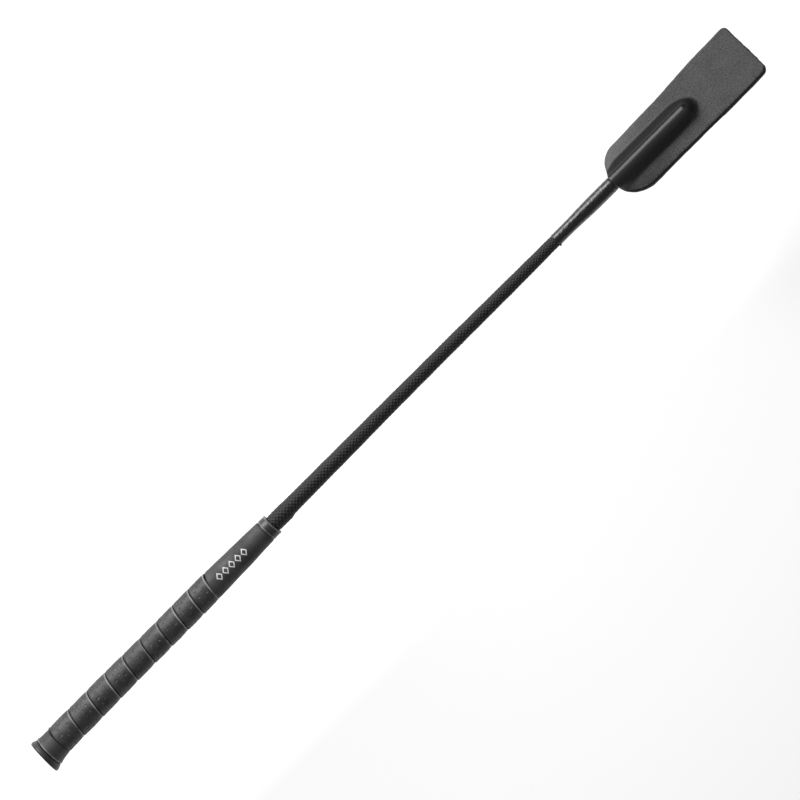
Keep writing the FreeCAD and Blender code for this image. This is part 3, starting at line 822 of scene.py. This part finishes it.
def rod(name, start, end, nodes, bodies, bend_zone):
    """A length of the glass-fibre core, with eased ends."""
    middle = np.linspace(start + 0.5, end - 0.5, int((end - start) / 4))
    x = np.array([start, start + 0.15, *middle, end - 0.15, end])[:, None]
    trim = 0.35 * (1 - ease(x, start - 0.1, start + 0.45)) + 0.35 * ease(x, end - 0.45, end + 0.1)
    around, whole = angles(48)
    radius = shaft_radius(x) - SHEATH_WALL - 0.06 - trim
    shell = Shell()
    numbers = shell.add(on_shaft(x, radius, around, core_line))
    shell.skin(numbers, skin_uv(x, radius, whole))
    for ring, station in ((numbers[0], start), (numbers[-1], end)):
        shell.fan(ring, on_shaft(station, 0.0, 0.0, core_line))
    finish_bending_piece(shell.build(name, [FIBRE]), nodes)


def shaft():
    """Two lengths of sheath and rod, which meet midway between the two hinges."""
    reach = (SWAY - BEND) / 2 - 1
    lower = ("handle", "neck"), (BEND - reach, BEND + reach)
    upper = ("neck", "shaft"), (SWAY - reach, SWAY + reach)
    sheath("braid_butt_run", ROD_START, RUN_SPLIT, MOUTH - 1, RUN_SPLIT, ("braid_root",), *lower)
    sheath("braid_tip_run", RUN_SPLIT, ROD_END, RUN_SPLIT, BINDING_START + 3,
           ("braid_neck", "braid_main"), *upper)
    rod("rod_butt_run", ROD_START, RUN_SPLIT, ("core_rod_root",), *lower)
    rod("rod_tip_run", RUN_SPLIT, ROD_END, ("core_rod_neck", "core_rod_main"), *upper)


# ---- whipping

THREAD_PITCH = 0.52
whipping_radius = through([
    (474, 4.42), (480, 4.42), (487, 4.47), (493, 4.62), (499, 4.86), (505, 5.06), (512, 5.14),
    (519, 5.16), (527, 5.1)])


def whipping():
    """A hundred turns of waxed thread, sunk in lacquer that has pooled here and there."""
    rng = np.random.default_rng(5)
    rows_per_turn = 6
    x = np.arange(BINDING_START, FLAP_START - 0.02, THREAD_PITCH / rows_per_turn)[:, None]
    around, whole = angles(84)
    turns = x / THREAD_PITCH + around / TURN + 0.22 * ripple(x, around * 4, 9, 41)
    lifts = rng.uniform(0, 0.02, 400)  # a little for each turn; the first is about the 900th
    lift = lifts[np.clip(np.floor(turns).astype(int) - 900, 0, 399)]
    thread = 0.06 * (1 - (2 * (turns % 1) - 1) ** 2) + lift
    pooled = np.clip(ripple(x, around * 5, 6.5, 43), 0, 2)
    lacquer = 0.05 * pooled + 0.035 * ripple(x, around * 5, 2.4, 44)
    first_turn = 0.14 * hump(x, BINDING_START + 0.5, 0.4)
    ends = 0.3 * (1 - ease(x, BINDING_START - 0.1, BINDING_START + 0.35))
    ends = ends + 0.3 * ease(x, FLAP_START - 0.4, FLAP_START)
    radius = whipping_radius(x) - 0.08 + thread * (1 - 0.25 * pooled) + lacquer + first_turn - ends
    shell, numbers, rows = tube(x, radius, lambda x: whipping_radius(x) - 0.32, 40, around)
    shell.skin(numbers, joined(rows, 4.7 * whole), closed_rows=True)
    finish_piece(shell.build("whipping", [THREAD], 60), "shaft", "thread", "thread_binding")


def whipping_knot():
    """The finishing knot at the whipping's first turn: two crossed loops pulled tight."""
    thick = 0.27
    at = TURN * 0.49  # it sits on the -Y side
    across = np.array([0, math.cos(at), math.sin(at)])
    aside = np.array([0, -across[2], across[1]])
    forward = np.array([1.0, 0, 0])
    run, run_closed = angles(72)
    around, whole = angles(12)
    path = (np.sin(2 * run)[:, None] * 0.55 * forward + np.sin(run)[:, None] * 0.95 * aside
            + (0.22 * np.cos(3 * run)[:, None] + 0.1) * across)
    heading = headings(path)
    side = np.cross(heading, across)
    side /= np.linalg.norm(side, axis=1)[:, None]
    upward = np.cross(side, heading)[:, None]
    circle = np.cos(around)[:, None] * side[:, None] + np.sin(around)[:, None] * upward
    shell = Shell()
    centre = on_shaft(BINDING_START + 0.55, 4.5, at)
    numbers = shell.add(centre + path[:, None] + thick * circle)
    shell.skin(numbers, joined(run_closed[:, None] * 6 / TURN, thick * whole), closed_rows=True)
    finish_piece(shell.build("whipping_knot", [THREAD], 80), "shaft", "thread")


# ---- flap

BASE_HALF = 2.0  # half the straight edge by the whipping
SHOULDER_LEFT = (15.5, 17.6)  # the oval shoulders beside it, along and across
SHOULDER_RIGHT = (21.5, 16.9)
BORDER = 3.0  # how far in from the outline the edge's rounding reaches
WIDEN = high("front_leather_free")[1] - 20.7  # the CAD's tip against these curves' own
left_half = through([
    (FLAP_START + SHOULDER_LEFT[0], BASE_HALF + SHOULDER_LEFT[1]), (560, 19.85), (575, 19.95),
    (585, 20.2), (593, 20.6), (601, 21.15), (609, 21.55), (625, 22.1), (TIP, 22.6 + WIDEN)])
right_half = through([
    (FLAP_START + SHOULDER_RIGHT[0], BASE_HALF + SHOULDER_RIGHT[1]), (560, 19.0), (575, 19.1),
    (590, 19.3), (609, 19.5), (625, 19.6), (TIP, 19.2 + WIDEN)])
# Edge section: distance in from the outline, and share of the thickness, seam face first.
EDGE_SECTION = (
    (1, 0), (0.4, 0), (0.12, 0.03), (0.02, 0.1), (0, 0.2), (0, 0.32), (0.06, 0.44), (0.2, 0.56),
    (0.45, 0.67), (0.8, 0.77), (1.25, 0.86), (1.8, 0.93), (2.4, 0.98))
# The dyed steps reach up the rounding of the grain face, where the dark is partly painted shade.
DYED_AND_SHADED_STEPS = range(2, 12)  # which of its steps are dyed edge and not grain

# The front leather is bent over the rod: a round crest, flanks, and creases where it meets the
# flat, at these distances left and right; past the rod's end the crease closes in an oval.
CREST_SHIFT = 0.15
FOOT_LEFT = 11.0
FOOT_RIGHT = 8.3
FOOT_MOUTH = 7.2  # at the whipping it hugs the rod,
HUG = 11  # and for so far past it
ROD_NOSE = ROD_END - 0.2
OVAL_CENTRE = ROD_NOSE - 9.3
OVAL_REACH = 18.8
UNDER_ARCH = CREST - (FLAT_FRONT - SEAM_FRONT)
# The front leather is given a paler shade than the back: partly its rubbed grey, partly painted
# reflection of the light above its flats.
FRONT_LEATHER_PAINTED_PALER = flap_leather("front_leather", 0.076, True)
BACK_LEATHER = flap_leather("back_leather", 0.03, False)


def flap_outline():
    """The flap's outline clockwise from the base: distances, points, inward directions, and the
    distances of its four corners."""
    quarter = np.linspace(0, TURN / 4, 61)
    sides = []
    for sign, tip, corner, shoulder, side_half in (
            (1, TIP - 1.6, 3.6, SHOULDER_LEFT, left_half),
            (-1, TIP - 0.4, 4.6, SHOULDER_RIGHT, right_half)):
        run = np.linspace(FLAP_START + shoulder[0], tip - corner, 140)[1:-1]
        half = side_half(tip - corner)
        x = np.hstack([
            FLAP_START + shoulder[0] * (1 - np.cos(quarter)), run,
            tip - corner * (1 - np.sin(quarter))])
        y = np.hstack([
            BASE_HALF + shoulder[1] * np.sin(quarter), side_half(run),
            half - corner * (1 - np.cos(quarter))])
        sides.append(joined(x, sign * y))
    points = np.concatenate([sides[0], sides[1][::-1]])
    edge = np.linalg.norm(np.roll(points, -1, 0) - points, axis=1)
    distance = np.append(0, np.cumsum(edge))
    count, middle = len(points), len(quarter) // 2
    corners = distance[[middle, count // 2 - 1 - middle, count // 2 + middle, count - 1 - middle]]
    heading = headings(points)
    inward = joined(heading[:, 1], -heading[:, 0])
    return distance, closed(points), closed(inward), corners


def four_sides(loop, stops):
    """The base, left, tip and right of a closed loop, all running to the left or to the tip."""
    base, left, tip, right = (loop[a:b + 1] for a, b in zip(stops[:-1], stops[1:]))
    return base, left, tip[::-1], right[::-1]


def leather_plan(seed):
    """Rings of points from the outline inwards, and a grid that fills the last of them."""
    distance, points, inward, (left_0, left_1, right_1, right_0) = flap_outline()
    rows = np.hstack([
        np.arange(0, 12, 0.4), np.arange(12, 86, 0.55), np.arange(86, 117.5, 0.9), 118]) / 118
    half = np.hstack([np.arange(0, 11.4, 0.34), np.arange(11.5, 17.2, 0.75), 17.4]) / 17.4
    columns = (1 + np.hstack([-half[:0:-1], half])) / 2
    total = distance[-1]
    base = right_0 + (left_0 + total - right_0) * columns
    left = left_0 + (left_1 - left_0) * rows
    tip = left_1 + (right_1 - left_1) * (1 - columns[::-1])
    right = right_1 + (right_0 - right_1) * (1 - rows[::-1])
    around = np.hstack([side[:-1] for side in (base, left, tip, right)]) % total
    place, into = (
        joined(*(np.interp(around, distance, of[:, axis]) for axis in (0, 1)))
        for of in (points, inward))
    wander = 0.12 * ripple(around, 0, 30, seed) + 0.05 * ripple(around, 0, 6, seed + 1)
    at_tip = ease(place[:, 0], TIP - 2.6, TIP - 2)
    wander = 0.15 + wander + at_tip * 0.05 * ripple(around, 0, 2.6, seed + 2)
    narrow = np.clip(0.3 + 0.7 * into[:, 1], 0.3, 1)

    def ring(inset):
        return place + into * (inset * narrow + wander * (1 - inset / BORDER))[:, None]

    inner = closed(ring(BORDER))
    across, along = len(columns) - 1, len(rows) - 1
    stops = np.cumsum([0, across, along, across, along])
    base, left, tip, right = four_sides(inner, stops)
    u, v = rows[:, None, None], columns[None, :, None]
    grid = ((1 - v) * right[:, None] + v * left[:, None] + (1 - u) * base[None] + u * tip[None]
            - (1 - u) * (1 - v) * base[0] - (1 - u) * v * base[-1]
            - u * (1 - v) * tip[0] - u * v * tip[-1])
    return ring, grid, around, stops


def sag(x, y):
    """How both leathers hang together: sides that droop towards the whipping, slow waves."""
    beside = np.clip(np.abs(y) - 8.5, 0, None) / 10
    fall = np.where(y > 0, 1.9, 2.9)
    droop = fall * (1 - ease(x, FLAP_START + 4, FLAP_START + 54)) * beside ** 2
    droop = droop + 1.1 * (1 - ease(x, FLAP_START, FLAP_START + 15)) * ease(np.abs(y), 4, 10)
    wave = 0.08 * ripple(x, y, 38, 61) * ease(np.hypot(x - FLAP_START, y), 8, 40)
    return wave - droop


def bent_over_rod(x, y, arch, flat):
    """Height of a face of the front leather; arch is its radius over the rod."""
    side = y - CREST_SHIFT
    past = np.clip(x - ROD_NOSE, 0, None)
    reach = np.hypot(past, side) + 1e-9
    foot = np.where(side > 0, FOOT_LEFT, FOOT_RIGHT)
    begun = np.clip(np.minimum(x, ROD_NOSE) - OVAL_CENTRE, 0, None)
    forward, sideways = past / reach, np.abs(side) / reach
    a = (forward / OVAL_REACH) ** 2 + (sideways / foot) ** 2
    b = begun * forward / OVAL_REACH ** 2
    c = (begun / OVAL_REACH) ** 2 - 1
    foot = (np.sqrt(b ** 2 - a * c) - b) / a
    foot = FOOT_MOUTH + (foot - FOOT_MOUTH) * ease(x, FLAP_START, FLAP_START + HUG)
    slope = np.arctan(-FLAT_FRONT / foot) + np.arcsin(CREST / np.hypot(foot, FLAT_FRONT))
    round_part = np.sqrt(np.clip(arch ** 2 - reach ** 2, 0, None))
    flank = (arch - reach * np.sin(slope)) / np.cos(slope)
    raised = np.where(reach < arch * np.sin(slope), round_part, flank)
    soften = 0.45 + 3.0 * (1 - ease(x, FLAP_START + 2, FLAP_START + 13))
    return (raised + flat + np.sqrt((raised - flat) ** 2 + soften ** 2)) / 2


def front_faces(x, y):
    """Seam face and grain face of the front leather."""
    hang = sag(x, y)
    seam = bent_over_rod(x, y, UNDER_ARCH, SEAM_FRONT + hang)
    nose = 0.4 * np.exp(-((x - ROD_NOSE - 4.3) ** 2 + (y - CREST_SHIFT) ** 2) / 1.5)
    grain = bent_over_rod(x, y, CREST, FLAT_FRONT + hang) + nose
    return seam, grain + 0.04 * ripple(x, y, 14, 62) + 0.006 * ripple(x, y, 3.5, 63)


def back_faces(x, y):
    hang = sag(x, y)
    return SEAM_BACK + hang, FLAT_BACK + hang + 0.05 * ripple(x, y, 13, 64)


def leather(name, material, faces, seed, tongue_from, tongue_to, *nodes):
    """One leather of the flap, with its narrow tongue under the whipping."""
    ring, grid, around, stops = leather_plan(seed)
    shell = Shell()
    rings = []
    for inset, share in ((BORDER, 0), *EDGE_SECTION, (BORDER, 1)):
        plan = ring(inset)
        seam, grain = faces(plan[:, 0], plan[:, 1])
        height = seam + (grain - seam) * share
        rings.append(shell.add(np.column_stack([plan, height])))
    total = np.append(around, around[0] + 1)
    for step, (inner, outer) in enumerate(zip(rings[:-1], rings[1:])):
        if step in DYED_AND_SHADED_STEPS:
            uv = joined(total * 0.25, np.array([[step], [step + 1]]) * 0.3)
        else:
            uv = np.stack([closed(ring(BORDER))] * 2)
        shell.skin(np.stack([inner, outer]), uv, slot=int(step in DYED_AND_SHADED_STEPS))
    for face, edge in ((0, rings[0]), (1, rings[-1])):
        x, y = grid[..., 0], grid[..., 1]
        points = joined(x, y, faces(x, y)[face])
        numbers = np.zeros(x.shape, int)
        numbers[1:-1, 1:-1] = shell.add(points[1:-1, 1:-1])
        numbers[0], numbers[:, -1], numbers[-1], numbers[:, 0] = four_sides(closed(edge), stops)
        shell.skin(numbers, grid, closed_columns=False)
    tongue(shell, tongue_from, tongue_to)
    piece = shell.build(name, [material, EDGE_DYE_AND_SHADE], 50)
    finish_bending_piece(piece, nodes)


def tongue(shell, low_angle, high_angle):
    """Half a tube of pared leather round the shaft, under the whipping."""
    x = np.linspace(low("front_leather_pocket")[0], FLAP_START + 0.5, 22)[:, None]
    swing = np.linspace(low_angle, high_angle, 25)
    inside = shaft_radius(x) + 0.16
    outside = whipping_radius(np.minimum(x, FLAP_START)) - 0.36
    outer, inner = (on_shaft(x, radius, swing) for radius in (outside, inside))
    numbers = shell.add(np.hstack([outer, inner[:, ::-1]]))
    shell.skin(numbers, joined(x, np.linspace(0, 26, 51)))
    shell.close(numbers[0])
    shell.close(numbers[-1])


def flap():
    apart = 0.03  # angle that parts the two tongues
    leather("flap_front_leather", FRONT_LEATHER_PAINTED_PALER, front_faces, 71, apart, TURN / 2 - apart,
            "front_leather_pocket", "front_leather_free")
    leather("flap_back_leather", BACK_LEATHER, back_faces, 81, TURN / 2 + apart, TURN - apart,
            "back_leather_pocket", "back_leather_free")


# ---- build

butt_cap()
butt_collar()
grip_strip()
grip_sleeve()
sleeve_ornament()
mouth_ring()
shaft()
whipping()
whipping_knot()
flap()
# Parts that nothing shows keep their CAD shape.
for node, material in (("handle_former", HIDDEN_TUBE), ("grip_underlay", HIDDEN_RUBBER),
                       ("rod_tip_cap", HIDDEN_RUBBER)):
    mesh = frame["nodes"][node].data
    mesh.materials.clear()
    mesh.materials.append(material)


# ---- floor, light and camera

def floor():
    """A pale level sheet, low enough that the shaft and the flap can bend down above it."""
    half, drop = 1600, 150
    across = np.linspace(-half, half, 3)
    x, y = np.meshgrid(across + TIP / 2, across, indexing="ij")
    shell = Shell()
    numbers = shell.add(joined(x, y, -drop))
    shell.skin(numbers, joined(x, y), closed_columns=False)
    paint = Paint("pale_floor", Roughness=0.9, Specular_IOR_Level=0.1, Emission_Strength=0.3,
                  Base_Color=(0.8, 0.8, 0.8, 1), Emission_Color=(1, 1, 1, 1))
    shell.build("floor", [paint.material])


def studio():
    """One big softbox above, towards +Y, in an even pale surround; its distances are in metres."""
    light = bpy.data.lights.new("softbox", "AREA")
    light.shape = "RECTANGLE"
    light.size, light.size_y = 1.1, 1.0
    light.energy = 32
    distance, tilt = 1.4, math.radians(48)
    lamp = bpy.data.objects.new("softbox", light)
    lamp.rotation_euler = (-tilt, 0, 0)
    lamp.location = (0.15, distance * math.sin(tilt), distance * math.cos(tilt))
    scene = bpy.context.scene
    scene.collection.objects.link(lamp)
    scene.world = bpy.data.worlds.new("studio")
    scene.world.use_nodes = True
    surround = scene.world.node_tree.nodes["Background"].inputs
    surround["Color"].default_value = (1, 1, 1, 1)
    surround["Strength"].default_value = 0.2
    scene.view_settings.view_transform = "Standard"


def camera():
    """A long lens, tipped a little towards the flap and towards -Y, with the crop on a diagonal."""
    back = Vector((math.sin(math.radians(7)), -math.sin(math.radians(13)), 0))
    back.z = math.sqrt(1 - back.length_squared)
    along = Vector((1, 0, 0)) - back * back.x
    along.normalize()
    aside = back.cross(along)
    roll = math.radians(45.11)
    right = math.cos(roll) * along - math.sin(roll) * aside
    up = math.sin(roll) * along + math.cos(roll) * aside
    step = 0.6445e-3  # metres that one of the picture's 800 steps spans at the crop
    middle = Vector((0.3649, 0, 0)) - step * (37.0 * right + 40.0 * up)
    distance = 9.0
    lens = bpy.data.cameras.new("camera")
    lens.sensor_width = 36
    lens.lens = lens.sensor_width * distance / (800 * step)
    lens.clip_end = 2 * distance
    placed = bpy.data.objects.new("camera", lens)
    frame_of_view = Matrix((right, up, back)).transposed().to_4x4()
    placed.matrix_world = Matrix.Translation(middle + back * distance) @ frame_of_view
    bpy.context.scene.collection.objects.link(placed)
    bpy.context.scene.camera = placed


floor()
studio()
camera()
